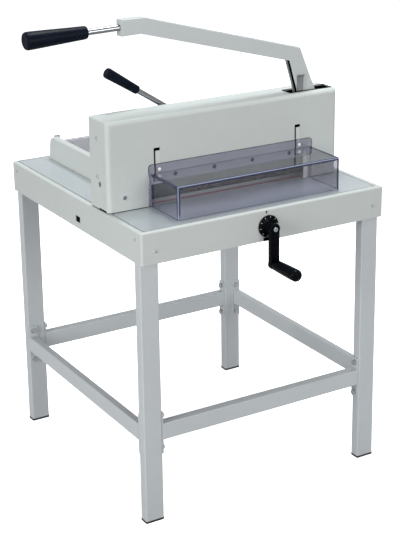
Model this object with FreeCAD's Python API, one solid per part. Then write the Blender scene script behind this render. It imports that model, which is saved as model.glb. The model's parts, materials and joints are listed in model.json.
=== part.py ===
import FreeCAD, Part
import math, os

# Heavy guillotine paper cutter on a four-legged stand.  Millimetres, +Z up, front faces -Y.
# Working frame: x = 0 at the outer face of the left legs, y = 0 at the front face of the front legs,
# z = 0 on the floor.  SHIFT moves it so that the origin is the middle of the whole object's box on the floor.

V = FreeCAD.Vector
os.makedirs("parts", exist_ok=True)

# ---------------------------------------------------------------- driving dimensions
STAND_W, STAND_D = 700.0, 710.7      # over the legs
LEG_W, LEG_D, LEG_T = 50.0, 28.0, 2.0  # leg tube: along X, along Y, wall
FOOT_H = 5.0
TABLE_Z = 768.2                      # table surface above the floor
APRON_H = 81.1                       # height of the table's edge
APRON_X0, APRON_X1 = -3.1, 703.1
APRON_Y0, APRON_Y1 = -16.1, 726.7
PLATE_T = 8.0
SEAM_L, SEAM_F, SEAM_B, SEAM_R = 12.4, 12.4, 12.4, 17.0
BRACE_Z0, BRACE_Z1 = 217.0, 261.0
BRACE_PLATE_Z0, BRACE_PLATE_Z1 = 179.0, 293.0
GATE_X0, GATE_X1 = 1.5, 677.7
GATE_Y0, GATE_Y1 = 156.7, 248.3
GATE_H = 227.4                       # gate top above the table
SHEET = 1.5
THROAT_X0, THROAT_X1, THROAT_H = 121.0, 572.0, 56.0
T = TABLE_Z
GATE_TOP = T + GATE_H
KNIFE_TILT = 20.0                    # the knife travels on a line this many degrees off the vertical
KNIFE_EDGE = T + 10.55               # knife edge at rest
LEVER_X, LEVER_Z = 617.0, 941.0      # cutting lever's pivot
LEVER_Y0, LEVER_Y1 = 183.0, 208.0    # width of the channel arm
CRANK_R = 44.7                       # lever pivot to drive roller
CLAMP_X, CLAMP_Z = 350.0, 904.0      # clamp pinion's axis
PINION_M, PINION_N = 3.0, 24         # module, teeth: pitch radius 36
SCREW_X, SCREW_Z = 350.0, 724.5      # lead screw axis
GUARD_X0, GUARD_X1, GUARD_Y0 = 118.8, 590.8, 21.4
GUARD_H, GUARD_FLANGE_H = 84.3, 107.7
GUARD_T = 4.0
SHIFT = V(-263.06, -290.4, 0)

NODES = {}


def box(x0, y0, z0, x1, y1, z1):
    return Part.makeBox(x1 - x0, y1 - y0, z1 - z0, V(x0, y0, z0))


def cyl(p, d, r, h):
    return Part.makeCylinder(r, h, V(*p), V(*d))


def cylx(x0, x1, y, z, r):
    return Part.makeCylinder(r, x1 - x0, V(x0, y, z), V(1, 0, 0))


def cyly(y0, y1, x, z, r):
    return Part.makeCylinder(r, y1 - y0, V(x, y0, z), V(0, 1, 0))


def cylz(z0, z1, x, y, r):
    return Part.makeCylinder(r, z1 - z0, V(x, y, z0), V(0, 0, 1))


def prism_y(pts, y0, y1):
    """Polygon given in x, z, swept along Y."""
    w = Part.makePolygon([V(x, y0, z) for x, z in pts] + [V(pts[0][0], y0, pts[0][1])])
    return Part.Face(w).extrude(V(0, y1 - y0, 0))


def prism_x(pts, x0, x1):
    """Polygon given in y, z, swept along X."""
    w = Part.makePolygon([V(x0, y, z) for y, z in pts] + [V(x0, pts[0][0], pts[0][1])])
    return Part.Face(w).extrude(V(x1 - x0, 0, 0))


def edges_where(s, test):
    out = []
    for e in s.Edges:
        a, b = e.Vertexes[0].Point, e.Vertexes[-1].Point
        m = e.valueAt((e.FirstParameter + e.LastParameter) / 2.0)
        if test(a, b, m):
            out.append(e)
    return out


def along(a, b, axis):
    d = b - a
    c = {"x": (d.y, d.z), "y": (d.x, d.z), "z": (d.x, d.y)}[axis]
    return abs(c[0]) < 1e-6 and abs(c[1]) < 1e-6 and d.Length > 1e-6


def fillet(s, r, test):
    es = edges_where(s, test)
    if not es:
        return s
    try:
        f = s.makeFillet(r, es)
        if f.isValid() and f.Volume > 0:
            return f
    except Exception:
        pass
    return s


def clean(s):
    try:
        r = s.removeSplitter()
        if r.isValid():
            return r
    except Exception:
        pass
    return s


def tube(x0, y0, z0, x1, y1, z1, axis, wall, r=3.0):
    """Rectangular tube with rounded corners along an axis."""
    o = fillet(box(x0, y0, z0, x1, y1, z1), r, lambda a, b, m: along(a, b, axis))
    dx = 0 if axis == "x" else wall
    dy = 0 if axis == "y" else wall
    dz = 0 if axis == "z" else wall
    i = fillet(box(x0 + dx, y0 + dy, z0 + dz, x1 - dx, y1 - dy, z1 - dz), max(r - wall, 0.8), lambda a, b, m: along(a, b, axis))
    return o.cut(i)


def hexbolt(p, d, shank_r, shank_l, af, head_h, washer_r=0.0, washer_t=0.0):
    """Hexagon-head bolt: p on the seat, d points out of the head, the shank goes the other way."""
    d = V(*d)
    d.normalize()
    p = V(*p)
    rot = FreeCAD.Rotation(V(0, 0, 1), d)
    R = af / 2.0 / math.cos(math.pi / 6)
    pts = [V(R * math.cos(math.radians(60 * k)), R * math.sin(math.radians(60 * k)), 0) for k in range(7)]
    head = Part.Face(Part.makePolygon(pts)).extrude(V(0, 0, head_h))
    cone = Part.makeCone(R + 0.1, R - 1.2, head_h * 1.001)
    try:
        head = head.common(Part.makeCone(R * 1.25, R * 0.93, head_h))
    except Exception:
        pass
    s = head
    if washer_t:
        head.translate(V(0, 0, washer_t))
        s = head.fuse(Part.makeCylinder(washer_r, washer_t))
    s = s.fuse(Part.makeCylinder(shank_r, shank_l, V(0, 0, 0.0), V(0, 0, -1)))
    s = clean(s)
    s.Placement = FreeCAD.Placement(p, rot)
    return s


def panscrew(p, d, head_r, head_h, shank_r, shank_l, cross=True):
    """Low domed screw head with a cross recess."""
    d = V(*d)
    d.normalize()
    head = Part.makeCylinder(head_r, head_h)
    es = [e for e in head.Edges if abs(e.valueAt(e.FirstParameter).z - head_h) < 1e-6 and e.Length > head_r]
    try:
        head = head.makeFillet(min(head_h * 0.6, head_r * 0.45), es)
    except Exception:
        pass
    if cross:
        w = head_r * 0.28
        l = head_r * 1.1
        head = head.cut(Part.makeBox(l, w, head_h, V(-l / 2, -w / 2, head_h * 0.45)))
        head = head.cut(Part.makeBox(w, l, head_h, V(-w / 2, -l / 2, head_h * 0.45)))
    s = head.fuse(Part.makeCylinder(shank_r, shank_l, V(0, 0, 0), V(0, 0, -1)))
    s = clean(s)
    s.Placement = FreeCAD.Placement(V(*p), FreeCAD.Rotation(V(0, 0, 1), d))
    return s


def revolve_profile(pts, origin, direction):
    """Solid of revolution: pts are (distance along the axis, radius), smooth lines between them."""
    P = [V(r, 0, h) for h, r in pts]
    start = V(0, 0, pts[0][0])
    end = V(0, 0, pts[-1][0])
    poly = [start] + P + [end, start]
    q = [poly[0]]
    for p in poly[1:]:
        if (p - q[-1]).Length > 1e-7:
            q.append(p)
    f = Part.Face(Part.makePolygon(q))
    s = f.revolve(V(0, 0, 0), V(0, 0, 1), 360)
    d = V(*direction)
    d.normalize()
    s.Placement = FreeCAD.Placement(V(*origin), FreeCAD.Rotation(V(0, 0, 1), d))
    return s


def add(name, shapes):
    if not isinstance(shapes, (list, tuple)):
        shapes = [shapes]
    solids = []
    for s in shapes:
        solids += s.Solids
    NODES[name] = solids


# ---------------------------------------------------------------- stand: legs, feet, braces
apron_z0 = T - APRON_H
plate_z0 = T - PLATE_T
leg_spots = {
    "front_left": (0.0, 0.0), "front_right": (STAND_W - LEG_W, 0.0),
    "rear_left": (0.0, STAND_D - LEG_D), "rear_right": (STAND_W - LEG_W, STAND_D - LEG_D),
}
bolt_holes = []
brace_bolts = []
BOLT_R = 4.0
PLATE = 4.0


def brace_bolt(p, d):
    brace_bolts.append(hexbolt(p, d, BOLT_R, 16.0, 13.0, 5.3, 8.0, 1.4))
    dd = V(*d)
    bolt_holes.append(Part.makeCylinder(BOLT_R + 0.25, 24.0, V(*p) + dd * 2, dd * -1))


legs = {}
for k, (lx, ly) in leg_spots.items():
    legs[k] = tube(lx, ly, FOOT_H, lx + LEG_W, ly + LEG_D, plate_z0, "z", LEG_T, 3.0)

x_in0, x_in1 = LEG_W, STAND_W - LEG_W
y_in0, y_in1 = LEG_D, STAND_D - LEG_D
BR_T = 20.0   # thickness of the side braces


def end_plate_x(x, sign, y0, y1):
    p = box(min(x, x + sign * PLATE), y0, BRACE_PLATE_Z0, max(x, x + sign * PLATE), y1, BRACE_PLATE_Z1)
    return fillet(p, 5.0, lambda a, b, m: along(a, b, "x"))


def end_plate_y(y, sign, x0, x1):
    p = box(x0, min(y, y + sign * PLATE), BRACE_PLATE_Z0, x1, max(y, y + sign * PLATE), BRACE_PLATE_Z1)
    return fillet(p, 5.0, lambda a, b, m: along(a, b, "y"))


braces = {}
for k, y0 in (("front", 0.0), ("rear", STAND_D - LEG_D)):
    y1 = y0 + LEG_D
    b = tube(x_in0 + PLATE, y0 + 0.5, BRACE_Z0, x_in1 - PLATE, y1 - 0.5, BRACE_Z1, "x", 2.0, 3.0)
    b = b.fuse([end_plate_x(x_in0, 1, y0 + 1, y1 - 1), end_plate_x(x_in1, -1, y0 + 1, y1 - 1)])
    braces[k] = b
    for z in (BRACE_PLATE_Z0 + 14, BRACE_PLATE_Z1 - 14):
        brace_bolt((x_in0 + PLATE, (y0 + y1) / 2, z), (1, 0, 0))
        brace_bolt((x_in1 - PLATE, (y0 + y1) / 2, z), (-1, 0, 0))
for k, x0 in (("left", 0.5), ("right", STAND_W - BR_T - 0.5)):
    x1 = x0 + BR_T
    b = tube(x0, y_in0 + PLATE, BRACE_Z0, x1, y_in1 - PLATE, BRACE_Z1, "y", 2.0, 3.0)
    px0, px1 = (x0 + 0.5, x0 + 25.5) if k == "left" else (x1 - 25.5, x1 - 0.5)
    b = b.fuse([end_plate_y(y_in0, 1, px0, px1), end_plate_y(y_in1, -1, px0, px1)])
    braces[k] = b
    for z in (BRACE_PLATE_Z0 + 14, BRACE_PLATE_Z1 - 14):
        brace_bolt(((px0 + px1) / 2, y_in0 + PLATE, z), (0, 1, 0))
        brace_bolt(((px0 + px1) / 2, y_in1 - PLATE, z), (0, -1, 0))

holes = Part.makeCompound(bolt_holes)
for k in braces:
    add("brace_" + k, clean(braces[k].cut(bolt_holes)))

feet = []
for k, (lx, ly) in leg_spots.items():
    base = fillet(box(lx - 0.6, ly - 0.6, 0, lx + LEG_W + 0.6, ly + LEG_D + 0.6, FOOT_H), 3.0, lambda a, b, m: along(a, b, "z"))
    plug = fillet(box(lx + LEG_T + 0.4, ly + LEG_T + 0.4, FOOT_H, lx + LEG_W - LEG_T - 0.4, ly + LEG_D - LEG_T - 0.4, FOOT_H + 18), 1.0, lambda a, b, m: along(a, b, "z"))
    feet.append(base.fuse(plug))
add("foot_caps", feet)

# ---------------------------------------------------------------- table: edge frame, plate, crossmembers
outer = box(APRON_X0, APRON_Y0, apron_z0, APRON_X1, APRON_Y1, T)
outer = fillet(outer, 6.0, lambda a, b, m: along(a, b, "z"))
outer = fillet(outer, 5.0, lambda a, b, m: abs(a.z - T) < 1e-6 and abs(b.z - T) < 1e-6)
cav = fillet(box(0.0, APRON_Y0 + 3.1, apron_z0 - 1, STAND_W, APRON_Y1 - 3.1, T - 3.0), 3.0, lambda a, b, m: along(a, b, "z"))
top_hole = box(APRON_X0 + SEAM_L, APRON_Y0 + SEAM_F, T - 5, APRON_X1 - SEAM_R, APRON_Y1 - SEAM_B, T + 1)
table_frame = outer.cut(cav).cut(top_hole)
# bottom return lip on the front and back
screw_hole = cyly(APRON_Y0 - 1, APRON_Y0 + 10, SCREW_X, SCREW_Z, 9.5)
side_hole = fillet(box(APRON_X0 - 1, 309.0, 704.0, 2.0, 333.0, 720.0), 1.5, lambda a, b, m: along(a, b, "x"))
table_frame = table_frame.cut([screw_hole, side_hole])

px0, px1 = APRON_X0 + SEAM_L + 0.35, APRON_X1 - SEAM_R - 0.35
py0, py1 = APRON_Y0 + SEAM_F + 0.35, APRON_Y1 - SEAM_B - 0.35
STICK_Y0, STICK_Y1, STICK_D = 171.5, 187.5, 6.0
plate = box(px0, py0, plate_z0, px1, py1, T)
plate = plate.cut(box(112.0, STICK_Y0, T - STICK_D, 580.0, STICK_Y1, T + 1))
gauge_slot = fillet(box(343.5, 204.0, plate_z0 - 1, 356.5, 700.0, T + 1), 6.0, lambda a, b, m: along(a, b, "z"))
plate = plate.cut(gauge_slot)
add("table_plate", plate)
stick = fillet(box(112.3, STICK_Y0 + 0.3, T - STICK_D, 579.7, STICK_Y1 - 0.3, T - 0.05), 0.8, lambda a, b, m: along(a, b, "x") and m.z > T - 1)
add("cutting_stick", stick)
cross = []
for cx in (120.0, 545.0):
    cross.append(tube(cx, APRON_Y0 + 3.1, 720.0, cx + 32, APRON_Y1 - 3.1, plate_z0, "y", 2.5, 3.0))
add("table_crossmembers", cross)

# ---------------------------------------------------------------- gate: cheeks, guides, beam
PIN_L = (60.0, T + 110.0)
PIN_R = (640.0, T + 110.0)
ROLL_R = 7.0
S_DOWN, S_UP = 11.2, 33.6
ax = V(math.sin(math.radians(KNIFE_TILT)), 0, math.cos(math.radians(KNIFE_TILT)))


def inclined_slot(pin, y0, y1, half, extra):
    """Slot that a roller at pin runs along, both ways on the inclined line."""
    a = V(pin[0], y0, pin[1]) - ax * (S_DOWN + extra)
    b = V(pin[0], y0, pin[1]) + ax * (S_UP + extra)
    n = V(ax.z, 0, -ax.x) * half
    w = Part.makePolygon([a + n, b + n, b - n, a - n, a + n])
    s = Part.Face(w).extrude(V(0, y1 - y0, 0))
    return s.fuse([Part.makeCylinder(half, y1 - y0, a, V(0, 1, 0)), Part.makeCylinder(half, y1 - y0, b, V(0, 1, 0))])


left_cheek = fillet(box(3.0, 182.0, T, 52.0, 244.0, T + 205), 3.0, lambda a, b, m: along(a, b, "z"))
add("left_cheek", left_cheek)
right_cheek = box(600.0, 182.0, T, 676.2, 244.0, T + 122).fuse(box(600.0, 214.0, T + 122, 676.2, 244.0, T + 205))
right_cheek = clean(right_cheek).cut(cyly(213, 245, LEVER_X, LEVER_Z, 15.0))
add("right_cheek", right_cheek)
lg = fillet(box(14.0, 172.0, T + 70, 100.0, 182.0, T + 205), 6.0, lambda a, b, m: along(a, b, "y"))
lg = lg.cut(inclined_slot(PIN_L, 171, 183, ROLL_R + 0.35, 1.0))
add("left_guide_plate", lg)
rg = fillet(box(590.0, 172.0, T + 70, 674.0, 182.0, T + 205), 6.0, lambda a, b, m: along(a, b, "y"))
rg = rg.cut(inclined_slot(PIN_R, 171, 183, ROLL_R + 0.35, 1.0)).cut(cyly(171, 183, LEVER_X, LEVER_Z, 15.0))
add("right_guide_plate", rg)
beam = box(52.0, 226.0, T + 120, 600.0, 244.0, T + 200).cut(cyly(225, 245, CLAMP_X, CLAMP_Z, 13.0))
add("gate_beam", beam)
bushes = [
    cyly(172.0, 182.0, LEVER_X, LEVER_Z, 15.0).cut(cyly(171, 183, LEVER_X, LEVER_Z, 12.05)),
    cyly(214.0, 244.0, LEVER_X, LEVER_Z, 15.0).cut(cyly(213, 245, LEVER_X, LEVER_Z, 12.05)),
    cyly(226.0, 244.0, CLAMP_X, CLAMP_Z, 13.0).cut(cyly(225, 245, CLAMP_X, CLAMP_Z, 9.05)),
]
add("shaft_bushes", bushes)
ROD_X = (150.0, 518.0)
blocks = []
for rx in ROD_X:
    b = fillet(box(rx - 19, 181.5, T + 140, rx + 19, 226.0, T + 172), 4.0, lambda a, b_, m: along(a, b_, "z") and m.y < 200)
    blocks.append(b.cut(cylz(T + 139, T + 173, rx, 193.0, 7.05)))
add("clamp_guide_blocks", blocks)

# ---------------------------------------------------------------- gate: covers
o = box(GATE_X0, GATE_Y0, T + 1.5, GATE_X1, 246.3, GATE_TOP)
o = fillet(o, 11.0, lambda a, b, m: (along(a, b, "z") and abs(m.y - GATE_Y0) < 1e-6) or (along(a, b, "x") and abs(m.y - GATE_Y0) < 1e-6 and m.z > T + 100))
o = fillet(o, 3.5, lambda a, b, m: along(a, b, "y") and m.z > GATE_TOP - 1)
i = box(GATE_X0 + SHEET, GATE_Y0 + SHEET, T - 5, GATE_X1 - SHEET, 260.0, GATE_TOP - SHEET)
i = fillet(i, 9.5, lambda a, b, m: (along(a, b, "z") and abs(m.y - GATE_Y0 - SHEET) < 1e-6) or (along(a, b, "x") and abs(m.y - GATE_Y0 - SHEET) < 1e-6 and m.z > T + 100))
i = fillet(i, 2.0, lambda a, b, m: along(a, b, "y") and m.z > GATE_TOP - 3)
front_cover = o.cut(i)
cuts = [box(THROAT_X0, 150, T - 1, THROAT_X1, 160, T + THROAT_H)]
SLOTS = ((129.8, 147.5), (544.9, 562.0))
for a, b in SLOTS:
    cuts.append(fillet(box(a, 150, T + 62, b, 160, T + 147.5), 1.5, lambda p, q, m: along(p, q, "y")))
KBOLT_X = (189.5, 302.5, 415.5, 528.5)
KBOLT_Z = T + 71.0
for bx in KBOLT_X:
    cuts.append(cyly(150, 162, bx, KBOLT_Z, 6.0))
# oval access hole in the left side
cuts.append(cylx(0, 4, 198.3, T + 68.5, 4.5).fuse([cylx(0, 4, 198.3, T + 63.5, 4.5), box(0, 193.8, T + 63.5, 4, 202.8, T + 68.5)]))
LSLOT = (546.0, 672.0, 177.5, 213.0)
cuts.append(box(LSLOT[0], LSLOT[2], GATE_TOP - 5, LSLOT[1], LSLOT[3], GATE_TOP + 1))
front_cover = front_cover.cut(cuts)

rear_cover = box(GATE_X0, 246.3, T + 1.5, GATE_X1, GATE_Y1, GATE_TOP)
rear_cover = fillet(rear_cover, 3.5, lambda a, b, m: along(a, b, "y") and m.z > GATE_TOP - 1)
rear_cover = rear_cover.cut([box(THROAT_X0, 240, T - 1, THROAT_X1, 255, T + 60.0), cyly(240, 255, CLAMP_X, CLAMP_Z, 12.0)])

liner = box(LSLOT[0] - 3, LSLOT[2] - 2.2, GATE_TOP, LSLOT[1] + 1.8, LSLOT[3] + 2.2, GATE_TOP + 1.3)
liner = liner.cut(box(LSLOT[0], LSLOT[2], GATE_TOP - 1, LSLOT[1], LSLOT[3], GATE_TOP + 3))
add("lever_slot_liner", liner)

# ---------------------------------------------------------------- screws of the covers and the table's edge
screws = []
sh = []


def cover_screw(p, d, hr=5.0, hh=2.4, sr=2.2, sl=12.0):
    screws.append(panscrew(p, d, hr, hh, sr, sl))
    dd = V(*d)
    sh.append(Part.makeCylinder(sr + 0.2, sl + 3, V(*p) + dd * 0.5, dd * -1))


cover_screw((47.0, GATE_Y0, T + 34.7), (0, -1, 0), sl=14.0)
cover_screw((640.0, GATE_Y0, T + 34.7), (0, -1, 0), sl=14.0)
cover_screw((GATE_X0, 209.0, T + 84.0), (-1, 0, 0), hr=6.0)
cover_screw((GATE_X0, 209.0, T + 180.0), (-1, 0, 0))
cover_screw((GATE_X1, 230.0, T + 84.0), (1, 0, 0), hr=6.0)
cover_screw((GATE_X1, 230.0, T + 180.0), (1, 0, 0))
for bx in (28.0, 640.0):
    for bz in (T + 25, T + 185):
        cover_screw((bx, GATE_Y1, bz), (0, 1, 0), sl=9.0)
for bx, bz in ((34.0, 718.5), (668.0, 721.0)):
    cover_screw((bx, APRON_Y0, bz), (0, -1, 0), sl=22.0)
    cover_screw((bx, APRON_Y1, bz), (0, 1, 0), sl=22.0)
for by in (14.0, STAND_D - 14.0):
    cover_screw((APRON_X0, by, 745.4), (-1, 0, 0), hr=4.0)
    cover_screw((APRON_X1, by, 745.4), (1, 0, 0), hr=4.0)
add("cover_screws", screws)
add("gate_front_cover", front_cover.cut(sh))
add("gate_rear_cover", rear_cover.cut(sh))
add("table_frame", table_frame.cut(sh))
NODES["left_cheek"] = NODES["left_cheek"][0].cut(sh).Solids
NODES["right_cheek"] = NODES["right_cheek"][0].cut(sh).Solids
for k in legs:
    add("leg_" + k, legs[k].cut(bolt_holes).cut(sh))
add("stand_bolts", brace_bolts)

# ---------------------------------------------------------------- rear bay: walls and lid
WALL_IN0, WALL_IN1 = 110.0, 583.0


def side_wall(x0, x1, outer_left):
    pts = [(248.3, T), (697.0, T), (693.5, T + 36), (689.0, T + 52), (681.0, T + 61), (670.0, T + 65), (248.3, T + 65)]
    s = prism_x(pts, x0, x1)
    xo = x0 if outer_left else x1
    s = fillet(s, 7.0, lambda a, b, m: abs(a.x - xo) < 1e-6 and abs(b.x - xo) < 1e-6 and m.z > T + 64.9 and m.y < 669)
    inn = prism_x([(246, T - 1), (690.0, T - 1), (687.0, T + 35), (683.0, T + 48), (676.0, T + 57), (668.0, T + 61), (246, T + 61)], x0 + 2 if outer_left else x0 + 2, x1 - 2)
    inn = fillet(inn, 4.5, lambda a, b, m: abs(a.x - (x0 + 2 if outer_left else x1 - 2)) < 1e-6 and abs(b.x - a.x) < 1e-6 and m.z > T + 60.9 and m.y < 667)
    return s.cut(inn)


add("rear_wall_left", side_wall(96.0, WALL_IN0, True))
add("rear_wall_right", side_wall(WALL_IN1, 597.0, False))
bw = fillet(box(WALL_IN0, 684.0, T, WALL_IN1, 692.0, T + 42.0), 2.0, lambda a, b, m: along(a, b, "x") and m.z > T + 40)
add("rear_wall_back", bw)
# lid: sloping sheet, hinged behind the gate, with upturned corner tabs
HINGE_Y, HINGE_Z = 255.0, T + 67.0
lid = prism_x([(260.0, T + 60.2), (696.0, T + 42.2), (696.0, T + 46.2), (260.0, T + 64.2)], WALL_IN0 + 0.8, WALL_IN1 - 0.8)
tab = prism_x([(692.0, T + 44.0), (696.0, T + 44.0), (694.0, T + 63.0), (690.5, T + 63.0)], WALL_IN0 + 0.8, WALL_IN0 + 16.0)
tab2 = prism_x([(692.0, T + 44.0), (696.0, T + 44.0), (694.0, T + 63.0), (690.5, T + 63.0)], WALL_IN1 - 16.0, WALL_IN1 - 0.8)
lid = lid.fuse([tab, tab2])
HINGES = (170.0, 500.0)
hb, pins = [], []
for hx in HINGES:
    knuckle = cylx(hx + 20.4, hx + 50, HINGE_Y, HINGE_Z, 5.0)
    leaf = prism_x([(HINGE_Y - 2, HINGE_Z - 4.6), (HINGE_Y + 6, HINGE_Z - 7.0), (278.0, T + 59.6), (278.0, T + 64.0), (HINGE_Y + 4, HINGE_Z + 2.0)], hx + 20.4, hx + 50)
    lid = lid.fuse([knuckle, leaf])
for hx in HINGES:
    lid = lid.cut(cylx(hx + 10, hx + 60, HINGE_Y, HINGE_Z, 2.55))
lid = clean(lid)
add("rear_cover_lid", lid)
for hx in HINGES:
    base = box(hx - 8, GATE_Y1, HINGE_Z - 6, hx + 20, HINGE_Y, HINGE_Z + 6).fuse(cylx(hx - 8, hx + 20, HINGE_Y, HINGE_Z, 5.5))
    pins.append(clean(base.fuse(cylx(hx + 20, hx + 49, HINGE_Y, HINGE_Z, 2.5))))

# ---------------------------------------------------------------- back gauge drive under the table
fb = fillet(box(270.0, -13.0, 704.0, 430.0, 10.0, 745.0), 3.0, lambda a, b, m: along(a, b, "y"))
rb = fillet(box(270.0, 680.0, 704.0, 430.0, 700.0, plate_z0), 3.0, lambda a, b, m: along(a, b, "y") and m.z < 710)
fb = fb.cut(cyly(-20, 20, SCREW_X, SCREW_Z, 8.05))
rb = rb.cut(cyly(670, 710, SCREW_X, SCREW_Z, 8.05))
add("lead_screw_bearings", [fb, rb])
RAIL_X = (292.0, 408.0)
add("guide_rails", [cyly(10.0, 680.0, rx, SCREW_Z, 8.0) for rx in RAIL_X])
GAUGE_Y = 520.0
car = fillet(box(270.0, GAUGE_Y + 5, 705.0, 430.0, GAUGE_Y + 45, 744.0), 4.0, lambda a, b, m: along(a, b, "y"))
neck = box(345.0, GAUGE_Y + 10, 740.0, 355.0, GAUGE_Y + 40, T + 1.0)
car = car.fuse(neck)
for rx in RAIL_X:
    car = car.cut(cyly(500, 600, rx, SCREW_Z, 8.06))
car = car.cut(cyly(500, 600, SCREW_X, SCREW_Z, 8.06))
add("back_gauge_carriage", clean(car))
fence = box(131.0, GAUGE_Y, T + 1.0, 561.0, GAUGE_Y + 6, T + 40.5).fuse(box(131.0, GAUGE_Y + 6, T + 1.0, 561.0, GAUGE_Y + 44, T + 7.0))
for gx in (160.0, 250.0, 346.0, 442.0, 532.0):
    fence = fence.fuse(prism_x([(GAUGE_Y + 6, T + 7), (GAUGE_Y + 40, T + 7), (GAUGE_Y + 6, T + 36)], gx - 2.5, gx + 2.5))
fence = clean(fence)
add("back_gauge_fence", fence)

# ---------------------------------------------------------------- crank on the front edge
screw = cyly(-20.0, 703.0, SCREW_X, SCREW_Z, 8.0).fuse(cyly(-49.0, -20.0, SCREW_X, SCREW_Z, 5.0))
add("lead_screw", screw)
dial = revolve_profile([(0, 27.0), (1.2, 28.5), (3.2, 28.5), (4.2, 27.2), (5.0, 22.0), (6.5, 15.0), (20.0, 13.0), (20.0, 5.2)], (SCREW_X, APRON_Y0 - 0.25, SCREW_Z), (0, -1, 0))
dial = dial.cut(cyly(-60, 0, SCREW_X, SCREW_Z, 5.15)).cut(cyly(-20.2, 0, SCREW_X, SCREW_Z, 8.15))
add("crank_dial", dial)
ARM_Y0, ARM_Y1 = -50.0, -36.4
HANDLE_Z = 633.0
arm = box(SCREW_X - 12.2, ARM_Y0, HANDLE_Z, SCREW_X + 12.2, ARM_Y1, SCREW_Z).fuse([cyly(ARM_Y0, ARM_Y1, SCREW_X, SCREW_Z, 14.0), cyly(ARM_Y0, ARM_Y1, SCREW_X, HANDLE_Z, 13.6)])
arm = clean(arm)
arm = fillet(arm, 2.0, lambda a, b, m: abs(a.y - ARM_Y0) < 1e-6 and abs(b.y - ARM_Y0) < 1e-6)
arm = arm.cut(cyly(-60, 0, SCREW_X, SCREW_Z, 5.15))
arm = arm.fuse(cyly(-140.0, -49.0, SCREW_X, HANDLE_Z, 4.0))
add("crank_arm", arm)
add("crank_screw", panscrew((SCREW_X, ARM_Y0, SCREW_Z), (0, -1, 0), 6.0, 2.6, 3.0, 0.9))
handle = revolve_profile([(0.6, 4.06), (0.6, 11.6), (2.0, 13.2), (12.0, 14.0), (55.0, 15.0), (78.0, 15.4), (78.6, 14.6), (79.6, 14.6), (80.2, 15.4), (91.0, 15.2), (94.8, 13.4), (97.4, 9.4), (98.2, 4.6), (98.3, 0.0)], (SCREW_X, ARM_Y0, HANDLE_Z), (0, -1, 0))
handle = handle.cut(cyly(-141.0, -40.0, SCREW_X, HANDLE_Z, 4.06))
add("crank_handle", handle)

# ---------------------------------------------------------------- knife: carrier, blade, bolts, rollers
carrier = box(45.0, 161.0, T + 62, 655.0, 171.0, T + 132)
PZ = LEVER_Z - CRANK_R * math.sin(math.radians(14.0))
PX = LEVER_X - CRANK_R * math.cos(math.radians(14.0))
yoke_z = LEVER_Z - 10.5
lug = fillet(box(545.0, 161.0, T + 120, 604.0, 171.0, T + 182), 8.0, lambda a, b, m: along(a, b, "y") and m.z > T + 170)
carrier = clean(carrier.fuse(lug))
yx0, yx1 = PX - 9.0 + 8.0 - 8.0, PX + 9.0
ys = box(PX - 8.5, 160, yoke_z - 8.65, PX + 9.0, 172, yoke_z + 8.65).fuse([cyly(160, 172, PX - 8.5, yoke_z, 8.65), cyly(160, 172, PX + 9.0, yoke_z, 8.65)])
carrier = carrier.cut(ys)
kb, kcut = [], []
for bx in KBOLT_X:
    head = cyly(161.2, 167.0, bx, KBOLT_Z, 6.5)
    hexr = 3.0 / math.cos(math.pi / 6)
    hx = prism_y([(bx + hexr * math.cos(math.radians(60 * k)), KBOLT_Z + hexr * math.sin(math.radians(60 * k))) for k in range(6)], 161.0, 164.5)
    kb.append(head.cut(hx).fuse(cyly(167.0, 177.5, bx, KBOLT_Z, 4.0)))
    kcut.append(cyly(160.0, 167.0, bx, KBOLT_Z, 6.8))
    kcut.append(cyly(166.0, 177.8, bx, KBOLT_Z, 4.2))
knife = prism_x([(178.5, KNIFE_EDGE), (178.5, T + 105), (171.0, T + 105), (171.0, KNIFE_EDGE + 14.5)], 112.0, 576.0)
carrier = carrier.cut(kcut)
knife = knife.cut(kcut)
rollers = []
for p in (PIN_L, PIN_R):
    rollers.append(cyly(171.0, 181.5, p[0], p[1], ROLL_R).fuse(cyly(165.0, 171.0, p[0], p[1], 4.0)))
    carrier = carrier.cut(cyly(160.0, 172.0, p[0], p[1], 4.2))
add("knife_carrier", carrier)
add("knife", knife)
add("knife_bolts", kb)
add("knife_guide_rollers", rollers)

# ---------------------------------------------------------------- clamp: beam, rods, rack
CL_Z0 = T + 14.0
cb = box(125.0, 180.5, CL_Z0, 568.0, 205.0, CL_Z0 + 50)
cb = fillet(cb, 2.5, lambda a, b, m: along(a, b, "x") and m.z < CL_Z0 + 1)
add("clamp_beam", cb)
add("clamp_guide_rods", [cylz(CL_Z0 + 50, T + 190, rx, 193.0, 7.0) for rx in ROD_X])
PITCH_R = PINION_M * PINION_N / 2.0
pitch = math.pi * PINION_M
PA = math.radians(20.0)
rack_x = CLAMP_X - PITCH_R
BACKLASH = 0.35
pts = [(rack_x - 16.0, T + 20.0)]
n_half = 6
zs = [CLAMP_Z + (k + 0.5) * pitch for k in range(-6, 5)]   # tooth centres; a gap lies on the axis height at rest
ht = pitch / 4 - BACKLASH / 2
ad, de = PINION_M * 0.97, PINION_M * 1.25
root_x = rack_x - de
pts.append((root_x, T + 20.0))
for zc in zs:
    wb = ht + de * math.tan(PA)
    wt = ht - ad * math.tan(PA)
    pts += [(root_x, zc - wb), (rack_x + ad, zc - wt), (rack_x + ad, zc + wt), (root_x, zc + wb)]
ztop = zs[-1] + pitch / 2 + 3
pts += [(root_x, ztop), (rack_x - 16.0, ztop)]
rack = prism_y(pts, 205.0, 219.0)
add("clamp_rack", rack)


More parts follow.
